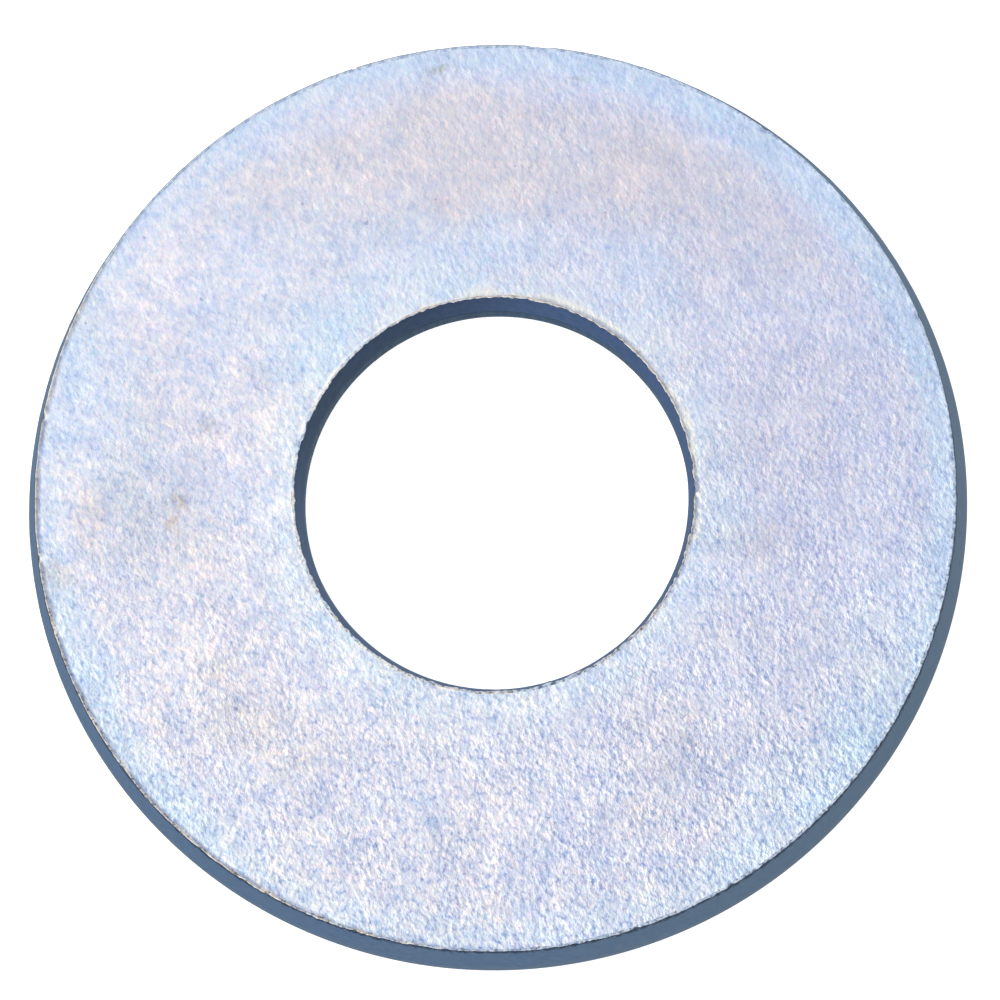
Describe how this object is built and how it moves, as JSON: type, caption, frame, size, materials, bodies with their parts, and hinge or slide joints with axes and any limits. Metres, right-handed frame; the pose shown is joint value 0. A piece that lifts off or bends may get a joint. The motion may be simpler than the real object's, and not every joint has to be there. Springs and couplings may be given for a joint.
{
  "type": "flat washer",
  "caption": "Plain round flat washer of zinc-plated steel with a central bore, which spreads the load of a bolt head or nut.",
  "frame": {"origin": "centre of the bore, on the lower face, which is the face with the rounded edges", "axes": "+Z along the bore, from the lower face to the sharp-edged upper face; X and Y are free, because the washer is round"},
  "size_m": [0.035, 0.035, 0.0024],
  "materials": {
    "zinc_plated_steel": "clear-blue bright zinc plating with a fine satin grain, smoother and darker on the punched edges"
  },
  "bodies": {
    "root": {"flat_washer": "zinc_plated_steel"}
  },
  "joints": []
}
